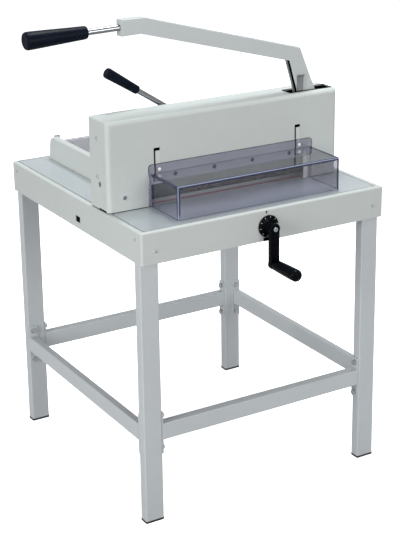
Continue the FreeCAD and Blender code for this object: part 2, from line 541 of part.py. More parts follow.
def gear_outline(m, n, pa, thin):
    """Involute outline, centre at 0, first tooth centred on angle pi."""
    rp = m * n / 2.0
    rb = rp * math.cos(pa)
    ra = rp + m * 0.97
    rf = rp - m * 1.25
    inv = math.tan(pa) - pa
    half_p = (math.pi * m / 2 - thin) / 2.0 / rp
    out = []
    steps = 7
    for k in range(n):
        c = math.pi + 2 * math.pi * k / n
        r0 = max(rb, rf)
        left, right = [], []
        for i_ in range(steps + 1):
            r = r0 + (ra - r0) * i_ / steps
            a = math.acos(min(1.0, rb / r))
            ang = half_p + inv - (math.tan(a) - a)
            left.append((r, c - ang))
            right.append((r, c + ang))
        seg = []
        if rf < r0:
            seg.append((rf, left[0][1]))
        seg += left
        seg += right[::-1]
        if rf < r0:
            seg.append((rf, right[0][1]))
        out += seg
    return [(r * math.cos(a), r * math.sin(a)) for r, a in out]


g = [(CLAMP_X + x, CLAMP_Z + z) for x, z in gear_outline(PINION_M, PINION_N, PA, BACKLASH)]
pinion = prism_y(g, 206.0, 218.0).cut(cyly(200, 220, CLAMP_X, CLAMP_Z, 9.2))
pinion = pinion.fuse(cyly(218.0, 224.0, CLAMP_X, CLAMP_Z, 15.0).cut(cyly(217, 225, CLAMP_X, CLAMP_Z, 9.2)))
add("clamp_pinion", pinion)
add("clamp_shaft", cyly(203.0, 274.0, CLAMP_X, CLAMP_Z, 9.0))
CDIR = V(-204.8, 0, 133.8)
CDIR.normalize()
CY = 262.0
hub = cyly(252.0, 272.0, CLAMP_X, CLAMP_Z, 19.0)
hub = fillet(hub, 2.0, lambda a, b, m: abs(a.y - b.y) < 1e-6)
rod = Part.makeCylinder(7.0, 300.0 - 15, V(CLAMP_X, CY, CLAMP_Z) + CDIR * 15, CDIR)
hub = hub.cut(cyly(250, 280, CLAMP_X, CLAMP_Z, 9.2))
add("clamp_lever", clean(hub.fuse(Part.makeCylinder(7.0, 300.0 - 15, V(CLAMP_X, CY, CLAMP_Z) + CDIR * 15, CDIR))))
gp = [(0.0, 7.2), (0.0, 9.2), (1.2, 10.4), (4.0, 11.1), (30.0, 11.6), (70.0, 12.9), (92.0, 13.6), (98.0, 13.4), (101.0, 12.2), (102.4, 10.0), (102.4, 0.0)]
gstart = V(CLAMP_X, CY, CLAMP_Z) + CDIR * 244.6
cgrip = revolve_profile(gp, tuple(gstart), tuple(CDIR)).cut(Part.makeCylinder(7.1, 60.0, gstart - CDIR * 2, CDIR))
add("clamp_grip", cgrip)

# ---------------------------------------------------------------- cutting lever
AR = [(65.5, 1193.5), (117.0, 1195.0), (547.3, 1078.8), (568.5, 1004.8), (588.0, 936.0), (617.0, 911.0), (645.3, 951.0), (618.2, 1015.0), (579.0, 1109.7), (126.5, 1233.4), (65.5, 1233.4)]
outer_p = prism_y(AR, LEVER_Y0, LEVER_Y1).fuse(cyly(LEVER_Y0, LEVER_Y1, LEVER_X, LEVER_Z, 30.0))
outer_p = clean(outer_p)


def offset_in(pts, dists):
    """Polygon moved inwards edge by edge (pts counter-clockwise seen with x right, z up)."""
    n = len(pts)
    lines = []
    for k in range(n):
        (x0, z0), (x1, z1) = pts[k], pts[(k + 1) % n]
        dx, dz = x1 - x0, z1 - z0
        L = math.hypot(dx, dz)
        nx, nz = -dz / L, dx / L
        d = dists[k]
        lines.append((x0 + nx * d, z0 + nz * d, dx, dz))
    out = []
    for k in range(n):
        x0, z0, dx, dz = lines[k - 1]
        x1, z1, ex, ez = lines[k]
        det = dx * ez - dz * ex
        t = ((x1 - x0) * ez - (z1 - z0) * ex) / det
        out.append((x0 + dx * t, z0 + dz * t))
    return out


# the channel is open on its lower side and closed along its outer side and at its handle end
inner_pts = [(68.5, 1180.0), (117.0, 1180.0), (530.0, 1070.0), (520.0, 1004.0), (550.0, 890.0), (660.0, 890.0)]
wall = 3.0
oe = [(645.3, 951.0), (618.2, 1015.0), (579.0, 1109.7), (126.5, 1233.4), (68.5, 1233.4)]
sub = offset_in([(700.0, 821.8)] + [(618.2, 1015.0), (579.0, 1109.7), (126.5, 1233.4), (30.0, 1233.4), (30.0, 800.0)], [wall] * 4 + [0.0, 0.0])
channel_in = prism_y(sub, LEVER_Y0 + 3.0, LEVER_Y1 - 3.0)
keep_end = box(60.0, 180.0, 1150.0, 68.5, 215.0, 1250.0)
channel_in = channel_in.cut(keep_end)
arm_ch = outer_p.cut(channel_in)
arm_ch = fillet(arm_ch, 2.2, lambda a, b, m: (abs(m.y - LEVER_Y0) < 1e-6 or abs(m.y - LEVER_Y1) < 1e-6) and abs(a.y - b.y) < 1e-6 and m.z > 1000 and (
    abs((m.z - 1233.4)) < 1e-3 or abs((m.x - 126.5) * (1109.7 - 1233.4) - (m.z - 1233.4) * (579.0 - 126.5)) < 5.0 or abs((m.x - 579.0) * (1015.0 - 1109.7) - (m.z - 1109.7) * (618.2 - 579.0)) < 5.0))
RODT = math.radians(1.6)
RD = V(-math.cos(RODT), 0, -math.sin(RODT))
RO = V(65.5, 195.5, 1213.6)
arm_ch = arm_ch.cut([cyly(170, 230, LEVER_X, LEVER_Z, 12.15), Part.makeCylinder(7.7, 30.0, RO - RD * 12, RD)])
add("lever_arm", arm_ch)
lhub = cyly(LEVER_Y0 + 3.0, LEVER_Y1 - 3.0, LEVER_X, LEVER_Z, 26.0)
ear = prism_y([(LEVER_X, LEVER_Z + 22), (PX, PZ + 12.5), (PX, PZ - 12.5), (LEVER_X, LEVER_Z - 22)], LEVER_Y0 + 3.0, LEVER_Y1 - 3.0)
lhub = clean(lhub.fuse([ear, cyly(LEVER_Y0 + 3.0, LEVER_Y1 - 3.0, PX, PZ, 12.5)]))
lhub = lhub.cut([cyly(170, 230, LEVER_X, LEVER_Z, 12.15), cyly(170, 230, PX, PZ, 5.15)])
add("lever_hub", lhub)
add("lever_shaft", cyly(172.3, 243.5, LEVER_X, LEVER_Z, 12.0))
add("drive_roller", cyly(162.0, 172.0, PX, PZ, 8.0).fuse([cyly(172.0, 185.5, PX, PZ, 6.0), cyly(185.5, 204.0, PX, PZ, 5.0)]))
ROD_L = 60.0 + 87.0 + 12.0
add("lever_rod", Part.makeCylinder(7.5, ROD_L, RO - RD * 10.0, RD).fuse(Part.makeCylinder(9.3, 4.5, RO - RD * 10.0, RD)))
gs = RO + RD * 86.5
mg = [(0.0, 7.7), (0.0, 12.6), (0.8, 14.4), (3.0, 15.6), (6.5, 16.0), (40.0, 17.2), (90.0, 19.4), (135.0, 21.3), (149.0, 21.7), (153.5, 21.2), (156.6, 19.6), (158.0, 17.0), (157.2, 16.2), (157.2, 0.0)]
mgrip = revolve_profile(mg, tuple(gs), tuple(RD)).cut(Part.makeCylinder(7.6, 70.0, gs - RD * 2, RD))
add("lever_grip", mgrip)

# ---------------------------------------------------------------- latch beside the lever
LATX, LATZ = 577.5, 984.5
lat = prism_y([(569.5, 976.5), (585.5, 976.5), (586.0, 1008.0), (587.5, 1035.0), (568.5, 1037.0), (569.5, 1008.0)], 179.2, 181.4)
lat = lat.fuse(prism_x([(179.2, 1033.0), (181.4, 1036.8), (174.5, 1040.5), (173.4, 1038.6)], 569.0, 587.0))
lat = clean(lat).cut(cyly(170, 190, LATX, LATZ, 2.56))
add("lever_latch", lat)
bracket = box(566.0, 173.4, 975.0, 589.0, 177.0, GATE_TOP - SHEET)
lp = cyly(177.0, 182.2, LATX, LATZ, 2.5)
add("hinge_brackets", pins + [clean(bracket.fuse(lp))])

# ---------------------------------------------------------------- smoked front guard
fy1 = GATE_Y0 - 0.2
fy0 = fy1 - GUARD_T
gz0 = T + 0.4
flange = box(112.9, fy0, gz0, 596.7, fy1, T + GUARD_FLANGE_H)
flange = fillet(flange, 9.0, lambda a, b, m: along(a, b, "y") and m.z > T + 100)
flange = flange.cut(box(GUARD_X0 + GUARD_T, fy0 - 1, gz0 - 1, GUARD_X1 - GUARD_T, fy1 + 1, T + GUARD_H - GUARD_T))
hood = box(GUARD_X0, GUARD_Y0, gz0, GUARD_X1, fy0 + 0.5, T + GUARD_H)
hood = fillet(hood, 3.5, lambda a, b, m: abs(m.y - GUARD_Y0) < 1e-6 and (along(a, b, "x") and m.z > T + 50 or along(a, b, "z")))
hin = box(GUARD_X0 + GUARD_T, GUARD_Y0 + GUARD_T, gz0 - 1, GUARD_X1 - GUARD_T, 170.0, T + GUARD_H - GUARD_T)
guard = clean(hood.cut(hin).fuse(flange))
bars, gscr, gh = [], [], []
for sx, bx0, bx1 in ((142.0, 135.2, 149.8), (556.5, 550.4, 564.6)):
    bar = fillet(box(bx0, 158.5, T + 64, bx1, 160.4, T + 139.3), 1.5, lambda a, b, m: along(a, b, "y") and m.z > T + 100)
    for sz in (T + 94.0, T + 73.5):
        gscr.append(panscrew((sx, fy0, sz), (0, -1, 0), 4.2, 2.4, 2.0, 7.4))
        gh.append(cyly(140, 165, sx, sz, 2.2))
    bars.append(bar.cut(gh))
guard = guard.cut(gh)
add("front_guard", guard)
add("guard_bars", bars)
add("guard_screws", gscr)

# ---------------------------------------------------------------- write one STEP per piece
lo = [1e9] * 3
hi = [-1e9] * 3
for name, solids in sorted(NODES.items()):
    shp = solids[0] if len(solids) == 1 else Part.makeCompound(solids)
    shp = shp.copy()
    shp.translate(SHIFT)
    b = shp.BoundBox
    for k, (a, c) in enumerate(((b.XMin, b.XMax), (b.YMin, b.YMax), (b.ZMin, b.ZMax))):
        lo[k] = min(lo[k], a)
        hi[k] = max(hi[k], c)
    bad = [k for k, s in enumerate(solids) if not s.isValid() or s.Volume <= 0]
    shp.exportStep("parts/%s.step" % name)
    print("%-22s solids %2d  vol %9.1f cm3  x %7.1f..%7.1f y %7.1f..%7.1f z %7.1f..%7.1f %s" % (name, len(solids), sum(s.Volume for s in solids) / 1000.0, b.XMin, b.XMax, b.YMin, b.YMax, b.ZMin, b.ZMax, "BAD %s" % bad if bad else ""))
print(len(NODES), "nodes; box", [round(v, 3) for v in lo], [round(v, 3) for v in hi], "centre", round((lo[0] + hi[0]) / 2, 3), round((lo[1] + hi[1]) / 2, 3))
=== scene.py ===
import bpy, bmesh, math, json
from mathutils import Vector, Matrix


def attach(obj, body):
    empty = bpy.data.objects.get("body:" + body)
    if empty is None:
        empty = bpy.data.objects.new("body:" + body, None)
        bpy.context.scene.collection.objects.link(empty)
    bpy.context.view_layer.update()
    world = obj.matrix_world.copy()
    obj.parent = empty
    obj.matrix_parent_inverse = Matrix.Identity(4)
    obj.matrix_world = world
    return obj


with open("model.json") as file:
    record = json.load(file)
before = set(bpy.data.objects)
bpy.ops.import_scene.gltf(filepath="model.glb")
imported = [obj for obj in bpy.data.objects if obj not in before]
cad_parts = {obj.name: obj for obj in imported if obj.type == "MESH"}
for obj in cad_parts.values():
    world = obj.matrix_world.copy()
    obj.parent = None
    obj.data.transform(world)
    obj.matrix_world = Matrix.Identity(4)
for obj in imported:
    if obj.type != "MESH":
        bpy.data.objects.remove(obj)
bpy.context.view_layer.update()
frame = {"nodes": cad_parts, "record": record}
NODE = frame["nodes"]
scene = bpy.context.scene
SX, SY = -0.26306, -0.2904            # the drawing's corner at the front left leg, in the frame
T = 0.7682                            # table surface


def W(x, y, z):
    """A point given in millimetres from the front left leg's outer corner on the floor."""
    return Vector((x / 1000 + SX, y / 1000 + SY, z / 1000))


# ------------------------------------------------------------------ node helpers
class Mat:
    def __init__(self, name):
        self.m = bpy.data.materials.new(name)
        self.m.use_nodes = True
        self.t = self.m.node_tree
        self.t.nodes.clear()
        self.out = self.t.nodes.new("ShaderNodeOutputMaterial")
        self.b = self.t.nodes.new("ShaderNodeBsdfPrincipled")
        self.link(self.b.outputs[0], self.out.inputs["Surface"])
        self.co = self.t.nodes.new("ShaderNodeTexCoord").outputs["Object"]

    def link(self, a, b):
        self.t.links.new(a, b)

    def new(self, kind, **kw):
        n = self.t.nodes.new(kind)
        for k, v in kw.items():
            setattr(n, k, v)
        return n

    def set(self, **kw):
        for k, v in kw.items():
            s = self.b.inputs[k.replace("_", " ")]
            s.default_value = (*v, 1.0) if isinstance(v, tuple) and len(v) == 3 and s.type == "RGBA" else v

    def scaled(self, scale, src=None, rot=(0, 0, 0)):
        n = self.new("ShaderNodeMapping")
        n.inputs["Scale"].default_value = scale
        n.inputs["Rotation"].default_value = rot
        self.link(src or self.co, n.inputs["Vector"])
        return n.outputs[0]

    def noise(self, scale, detail=3.0, rough=0.5, src=None, dist=0.0):
        n = self.new("ShaderNodeTexNoise")
        n.inputs["Scale"].default_value = scale
        n.inputs["Detail"].default_value = detail
        n.inputs["Roughness"].default_value = rough
        n.inputs["Distortion"].default_value = dist
        self.link(src or self.co, n.inputs["Vector"])
        return n.outputs["Fac"]

    def voronoi(self, scale, feature="F1", src=None):
        n = self.new("ShaderNodeTexVoronoi", feature=feature)
        n.inputs["Scale"].default_value = scale
        self.link(src or self.co, n.inputs["Vector"])
        return n.outputs["Distance"]

    def rng(self, src, a, b, c, d, smooth=False):
        n = self.new("ShaderNodeMapRange")
        if smooth:
            n.interpolation_type = "SMOOTHSTEP"
        for k, v in zip(("From Min", "From Max", "To Min", "To Max"), (a, b, c, d)):
            n.inputs[k].default_value = v
        self.link(src, n.inputs["Value"])
        return n.outputs[0]

    def math(self, op, a, b=None):
        n = self.new("ShaderNodeMath", operation=op)
        for i, v in enumerate((a, b)):
            if v is None:
                continue
            if isinstance(v, (int, float)):
                n.inputs[i].default_value = v
            else:
                self.link(v, n.inputs[i])
        return n.outputs[0]

    def mix(self, fac, a, b, kind="MIX"):
        n = self.new("ShaderNodeMix", data_type="RGBA", blend_type=kind)
        for s, v in ((n.inputs[0], fac), (n.inputs[6], a), (n.inputs[7], b)):
            if isinstance(v, (int, float)):
                s.default_value = v
            elif isinstance(v, tuple):
                s.default_value = (*v, 1.0)
            else:
                self.link(v, s)
        return n.outputs[2]

    def bump(self, height, distance, strength=1.0, normal=None):
        n = self.new("ShaderNodeBump")
        n.inputs["Distance"].default_value = distance
        n.inputs["Strength"].default_value = strength
        self.link(height, n.inputs["Height"])
        if normal is not None:
            self.link(normal, n.inputs["Normal"])
        return n.outputs[0]

    def bevel(self, radius, samples=4):
        n = self.new("ShaderNodeBevel")
        n.samples = samples
        n.inputs["Radius"].default_value = radius
        return n.outputs[0]

    def edge(self, radius):
        """0 on flat ground, rising to 1 within radius of a sharp edge."""
        g = self.new("ShaderNodeNewGeometry")
        d = self.new("ShaderNodeVectorMath", operation="DOT_PRODUCT")
        self.link(self.bevel(radius), d.inputs[0])
        self.link(g.outputs["Normal"], d.inputs[1])
        return self.rng(d.outputs["Value"], 1.0, 0.75, 0.0, 1.0)

    def color(self, s):
        self.link(s, self.b.inputs["Base Color"])

    def rough(self, s):
        self.link(s, self.b.inputs["Roughness"])

    def normal(self, s):
        self.link(s, self.b.inputs["Normal"])


def shade(c, f):
    return tuple(max(0.0, min(1.0, x * f)) for x in c)


def paint(name, rgb, rough=0.42, peel=1.0, peel_scale=620.0, bevel=0.0011, coat=0.0, dust=0.03):
    m = Mat(name)
    big = m.noise(2.6, 4.0, 0.55)
    fine = m.noise(95.0, 3.0, 0.6)
    speck = m.noise(1500.0, 2.0, 0.6)
    v = m.math("ADD", m.rng(big, 0.3, 0.7, 1.0 - dust, 1.0 + dust), m.rng(fine, 0.3, 0.7, -0.012, 0.012))
    v = m.math("ADD", v, m.rng(speck, 0.35, 0.65, -0.014, 0.014))
    hs = m.new("ShaderNodeHueSaturation")
    hs.inputs["Color"].default_value = (*rgb, 1.0)
    m.link(v, hs.inputs["Value"])
    m.link(m.rng(m.noise(1.7, 2.0), 0.3, 0.7, 0.8, 1.2), hs.inputs["Saturation"])
    # painted highlight: within 1.6 mm of sharp edges the paint is lightened towards a tenth brighter, for the light the
    # rounded edges catch
    e = m.edge(0.0016)
    m.color(m.mix(m.math("MULTIPLY", e, 0.35), hs.outputs[0], shade(rgb, 1.10)))
    smear = m.noise(9.0, 5.0, 0.6, m.scaled((1.0, 1.0, 0.35)))
    r = m.math("ADD", m.rng(smear, 0.3, 0.7, rough - 0.05, rough + 0.05), m.rng(fine, 0.3, 0.7, -0.02, 0.02))
    m.rough(r)
    h = m.math("ADD", m.noise(peel_scale, 2.0, 0.5), m.math("MULTIPLY", m.voronoi(peel_scale * 0.55, "SMOOTH_F1"), 0.6))
    m.normal(m.bump(h, 0.00006 * peel, 0.55, m.bevel(bevel)))
    m.set(IOR=1.5, Coat_Weight=coat, Coat_Roughness=0.12)
    return m.m


def steel(name, rgb, rough=0.3, grain=(1, 1, 1), depth=1.0, oil=0.15, aniso=0.0, bevel=0.0006, metallic=1.0):
    """Ground or turned steel; grain is how the marks are stretched: large numbers across them."""
    m = Mat(name)
    lines = m.noise(60.0, 6.0, 0.7, m.scaled(grain))
    cloud = m.noise(14.0, 4.0, 0.6)
    spots = m.rng(m.noise(160.0, 3.0, 0.65), 0.62, 0.78, 0.0, 1.0)
    c = m.mix(m.rng(cloud, 0.3, 0.7, 0.0, 1.0), shade(rgb, 0.9), shade(rgb, 1.08))
    c = m.mix(m.math("MULTIPLY", spots, oil), c, (rgb[0] * 0.72, rgb[1] * 0.66, rgb[2] * 0.56))
    c = m.mix(m.rng(lines, 0.3, 0.7, 0.0, 0.35), c, shade(rgb, 1.15))
    m.color(c)
    m.rough(m.math("ADD", m.rng(lines, 0.25, 0.75, rough - 0.08, rough + 0.08), m.rng(cloud, 0.3, 0.7, -0.05, 0.06)))
    m.normal(m.bump(lines, 0.00004 * depth, 0.6, m.bevel(bevel)))
    m.set(Metallic=metallic, Anisotropic=aniso)
    return m.m


def plastic(name, rgb, rough=0.42, grain=900.0, depth=1.0, coat=0.0, bevel=0.0006, edge_highlight=1.6, spec=0.35):
    m = Mat(name)
    big = m.noise(30.0, 4.0, 0.6)
    g = m.noise(grain, 3.0, 0.6)
    c = m.mix(m.rng(big, 0.3, 0.7, 0.0, 1.0), shade(rgb, 0.75), shade(rgb, 1.3))
    # painted highlight: within 1.2 mm of sharp edges the colour is lifted towards a brighter copy of itself, for the
    # sheen those edges catch
    e = m.edge(0.0012)
    m.color(m.mix(m.math("MULTIPLY", e, 0.5), c, shade(rgb, edge_highlight)))
    m.rough(m.math("ADD", m.rng(big, 0.3, 0.7, rough - 0.05, rough + 0.05), m.rng(g, 0.3, 0.7, -0.05, 0.05)))
    m.normal(m.bump(g, 0.00005 * depth, 0.6, m.bevel(bevel)))
    m.set(IOR=1.5, Coat_Weight=coat, Coat_Roughness=0.18, Specular_IOR_Level=spec)
    return m.m


def acrylic(name, tint, edge_shade_rgb, glint_rgb, haze=0.0):
    """Clear coloured sheet. Lamps shine through it; cut edges and inside corners are painted dark as shade,
    and the rolled front corners get a painted highlight in a thin line."""
    m = Mat(name)
    cloud = m.noise(7.0, 3.0, 0.5)
    m.color(m.mix(m.rng(cloud, 0.3, 0.7, 0.0, 1.0), shade(tint, 0.96), shade(tint, 1.04)))
    scr = m.noise(90.0, 4.0, 0.65, m.scaled((1.0, 9.0, 2.0), rot=(0.2, 0.1, 0.5)))
    m.rough(m.rng(scr, 0.45, 0.8, 0.012, 0.06))
    m.normal(m.bump(m.noise(26.0, 2.0, 0.5), 0.00006, 0.4))
    m.set(IOR=1.49, Transmission_Weight=1.0)
    nrm = m.new("ShaderNodeSeparateXYZ")
    m.link(m.new("ShaderNodeTexCoord").outputs["Normal"], nrm.inputs[0])
    ax, ay, az = (m.math("ABSOLUTE", nrm.outputs[k]) for k in range(3))
    roll = m.math("MULTIPLY", m.math("MULTIPLY", ay, m.math("MAXIMUM", ax, az)), 2.0)
    # painted shade: the dark colour laid on the cut edges, inside corners and bends
    rim = m.new("ShaderNodeBsdfPrincipled")
    rim.inputs["Base Color"].default_value = (*edge_shade_rgb, 1.0)
    rim.inputs["Roughness"].default_value = 0.25
    # painted highlight: the pale blue line on the rolled front corners
    glint = m.new("ShaderNodeBsdfPrincipled")
    glint.inputs["Base Color"].default_value = (*glint_rgb, 1.0)
    glint.inputs["Roughness"].default_value = 0.2
    # painted shade mask: near sharp cut edges, on the rolled corners and, below, along the bends
    dark = m.math("MAXIMUM", m.math("MULTIPLY", m.edge(0.0032), 0.85), m.rng(roll, 0.08, 0.40, 0.0, 0.92))
    # painted shade along the bends: distance along the sheet from the hood's front, top, left and right outer corners,
    # dark within a few millimetres of them
    pos = m.new("ShaderNodeSeparateXYZ")
    m.link(m.co, pos.inputs[0])
    lim = W(118.8, 21.4, 768.2 + 84.3), W(590.8, 21.4, 768.2 + 84.3)
    u = m.math("ABSOLUTE", m.math("SUBTRACT", pos.outputs["Y"], lim[0].y))
    v = m.math("ABSOLUTE", m.math("SUBTRACT", pos.outputs["Z"], lim[0].z))
    wl = m.math("ABSOLUTE", m.math("SUBTRACT", pos.outputs["X"], lim[0].x))
    wr = m.math("ABSOLUTE", m.math("SUBTRACT", pos.outputs["X"], lim[1].x))
    near = m.math("ADD", u, v)
    for a, b in ((u, wl), (u, wr), (v, wl), (v, wr)):
        near = m.math("MINIMUM", near, m.math("ADD", a, b))
    near = m.math("ADD", near, m.math("GREATER_THAN", pos.outputs["Y"], W(0, 150.5, 0).y))
    dark = m.math("MAXIMUM", dark, m.rng(near, 0.0052, 0.0074, 0.88, 0.0))
    # the painted shade is mostly taken off the front's bottom edge, which stays pale
    foot = m.math("MULTIPLY", m.math("LESS_THAN", u, 0.0048), m.math("LESS_THAN", pos.outputs["Z"], T + 0.012))
    dark = m.math("MULTIPLY", dark, m.math("SUBTRACT", 1.0, m.math("MULTIPLY", foot, 0.7)))
    ms = m.new("ShaderNodeMixShader")
    m.link(dark, ms.inputs[0])
    m.link(m.b.outputs[0], ms.inputs[1])
    m.link(rim.outputs[0], ms.inputs[2])
    mg = m.new("ShaderNodeMixShader")
    m.link(m.rng(roll, 0.78, 0.95, 0.0, 0.90), mg.inputs[0])
    m.link(ms.outputs[0], mg.inputs[1])
    m.link(glint.outputs[0], mg.inputs[2])
    lp = m.new("ShaderNodeLightPath")
    tr = m.new("ShaderNodeBsdfTransparent")
    tr.inputs["Color"].default_value = (*tint, 1.0)
    sh = m.new("ShaderNodeMixShader")
    m.link(lp.outputs["Is Shadow Ray"], sh.inputs[0])
    m.link(mg.outputs[0], sh.inputs[1])
    m.link(tr.outputs[0], sh.inputs[2])
    m.link(sh.outputs[0], m.out.inputs["Surface"])
    return m.m


def screw_heads():
    """Heads painted over with the covers, but the two bare zinc ones on the gate's front."""
    mat = paint("paint_screw", (0.50, 0.54, 0.53), 0.34, 0.6)
    m = Mat.__new__(Mat)
    m.m, m.t = mat, mat.node_tree
    m.co = m.new("ShaderNodeTexCoord").outputs["Object"]
    pos = m.new("ShaderNodeSeparateXYZ")
    m.link(m.co, pos.inputs[0])
    b = next(n for n in m.t.nodes if n.type == "BSDF_PRINCIPLED")
    src = b.inputs["Base Color"].links[0].from_socket
    front = m.math("MULTIPLY", m.math("GREATER_THAN", pos.outputs["Y"], 0.1500 + SY), m.math("LESS_THAN", pos.outputs["Y"], 0.1580 + SY))
    zinc = m.mix(m.rng(m.noise(200.0, 4.0, 0.6), 0.3, 0.7, 0.0, 1.0), (0.13, 0.16, 0.17), (0.24, 0.27, 0.28))
    m.link(m.mix(front, src, zinc), b.inputs["Base Color"])
    m.link(m.math("MULTIPLY", front, 0.7), b.inputs["Metallic"])
    return mat


GREY = (0.575, 0.612, 0.588)
COOL = (0.600, 0.626, 0.630)
MATS = {
    "painted_frame": paint("paint_stand", (0.560, 0.590, 0.602), 0.40, 0.8),
    "painted_cover": paint("paint_cover", GREY, 0.44, 1.0),
    "table_enamel": paint("paint_table", (0.440, 0.482, 0.500), 0.20, 0.25, 380.0, coat=0.5),
    "lever_paint": paint("paint_lever", (0.570, 0.600, 0.600), 0.36, 0.7),
    "cut_steel": steel("steel_cut", (0.36, 0.37, 0.37), 0.36, (0.3, 4.0, 4.0), 1.2),
    "cheek_iron": plastic("iron_primed", (0.030, 0.033, 0.036), 0.6, 260.0, 5.0, edge_highlight=1.4),
    "blade_steel": steel("steel_blade", (0.62, 0.63, 0.62), 0.22, (4.0, 4.0, 0.3), 0.7, oil=0.05),
    "bright_steel": steel("steel_bright", (0.30, 0.31, 0.32), 0.12, (0.5, 7.0, 7.0), 0.08, oil=0.03),
    "dark_bolt": steel("steel_bolt", (0.46, 0.47, 0.48), 0.38, (2.0, 2.0, 2.0), 1.0, oil=0.3),
    "painted_screw": screw_heads(),
    "bronze_bush": steel("bronze", (0.55, 0.36, 0.17), 0.38, (2.0, 0.4, 2.0), 1.2, oil=0.4),
    "black_plastic": plastic("plastic_black", (0.0075, 0.0090, 0.0115), 0.34, 800.0, 0.8),
    "gauge_metal": steel("aluminium_gauge", (0.70, 0.71, 0.72), 0.34, (0.3, 5.0, 5.0), 1.0, oil=0.05),
    "smoked_acrylic": acrylic("acrylic_smoked", (0.590, 0.584, 0.636), (0.028, 0.031, 0.072), (0.36, 0.42, 0.60)),
}


def red_stick():
    m = Mat("plastic_red_stick")
    score = m.noise(55.0, 4.0, 0.7, m.scaled((0.15, 14.0, 1.0)))
    fuzz = m.noise(300.0, 3.0, 0.7)
    c = m.mix(m.rng(score, 0.35, 0.65, 0.0, 1.0), (0.20, 0.022, 0.022), (0.34, 0.050, 0.045))
    m.color(m.mix(m.rng(fuzz, 0.6, 0.8, 0.0, 0.5), c, (0.42, 0.24, 0.22)))
    m.rough(m.rng(score, 0.3, 0.7, 0.38, 0.62))
    m.normal(m.bump(score, 0.00025, 0.8))
    return m.m


MATS["cutting_stick_plastic"] = red_stick()


def threaded():
    """Rolled screw thread along Y, coloured dark brown in the roots and bright on the crests, with patches of brown
    grease.
    """
    m = Mat("steel_thread")
    w = m.new("ShaderNodeTexWave", wave_type="BANDS", bands_direction="Y", wave_profile="TRI")
    g = m.new("ShaderNodeSeparateXYZ")
    off = m.new("ShaderNodeVectorMath", operation="SUBTRACT")
    off.inputs[1].default_value = (0.08694, 0.0, 0.7245)
    m.link(m.co, off.inputs[0])
    m.link(off.outputs[0], g.inputs[0])
    ang = m.math("ARCTAN2", g.outputs["Z"], g.outputs["X"])
    turn = m.math("MULTIPLY", ang, 0.0025 / (2 * math.pi))
    y = m.math("ADD", g.outputs["Y"], turn)
    saw = m.math("PINGPONG", m.math("MULTIPLY", y, 1.0 / 0.0025), 0.5)
    dirt = m.noise(120.0, 3.0, 0.6)
    c = m.mix(m.rng(saw, 0.0, 0.5, 0.0, 1.0), (0.16, 0.14, 0.11), (0.62, 0.62, 0.60))
    m.color(m.mix(m.rng(dirt, 0.5, 0.75, 0.0, 0.5), c, (0.20, 0.17, 0.12)))
    m.rough(m.rng(saw, 0.0, 0.5, 0.5, 0.25))
    m.normal(m.bump(saw, 0.0011, 0.9))
    m.set(Metallic=1.0)
    return m.m


# ------------------------------------------------------------------ CAD nodes get their finish
SLOT = {s["node"]: s["material_slot"] for s in frame["record"]["subparts"]}
def channel_paint():
    """The arm's paint, with a painted shadow: the inside of its folded leg, deeper than a few millimetres from the open
    edge, is painted near-black as shade.
    """
    mat = paint("paint_arm", (0.570, 0.600, 0.600), 0.36, 0.7)
    m = Mat.__new__(Mat)
    m.m, m.t = mat, mat.node_tree
    tc = m.new("ShaderNodeTexCoord")
    m.co = tc.outputs["Object"]
    pos, nrm = m.new("ShaderNodeSeparateXYZ"), m.new("ShaderNodeSeparateXYZ")
    m.link(tc.outputs["Object"], pos.inputs[0])
    m.link(tc.outputs["Normal"], nrm.inputs[0])
    y = pos.outputs["Y"]
    inside = m.math("MULTIPLY", m.math("GREATER_THAN", y, 0.1859 + SY), m.math("LESS_THAN", y, 0.2051 + SY))
    inside = m.math("MULTIPLY", inside, m.math("LESS_THAN", nrm.outputs["Z"], 0.15))
    line = m.math("ADD", m.math("MULTIPLY", m.math("SUBTRACT", 1.0788, pos.outputs["Z"]), 0.2865), 0.5473 + SX)
    deep = m.rng(m.math("SUBTRACT", pos.outputs["X"], line), 0.0045, 0.0060, 0.0, 1.0)
    mask = m.math("MULTIPLY", inside, deep)
    old = next(n for n in m.t.nodes if n.type == "BSDF_PRINCIPLED")
    out = next(n for n in m.t.nodes if n.type == "OUTPUT_MATERIAL")
    # painted shadow: near-black, barely reflective colour for the leg's inside in the shade of its front wall
    shadow_bsdf = m.new("ShaderNodeBsdfPrincipled")
    shadow_noise = m.noise(60.0, 4.0, 0.6)
    m.link(m.mix(m.rng(shadow_noise, 0.3, 0.7, 0.0, 1.0), (0.003, 0.003, 0.004), (0.008, 0.007, 0.006)), shadow_bsdf.inputs["Base Color"])
    shadow_bsdf.inputs["Roughness"].default_value = 0.8
    shadow_bsdf.inputs["Specular IOR Level"].default_value = 0.05
    ms = m.new("ShaderNodeMixShader")
    m.link(mask, ms.inputs[0])
    m.link(old.outputs[0], ms.inputs[1])
    m.link(shadow_bsdf.outputs[0], ms.inputs[2])
    m.link(ms.outputs[0], out.inputs["Surface"])
    return mat


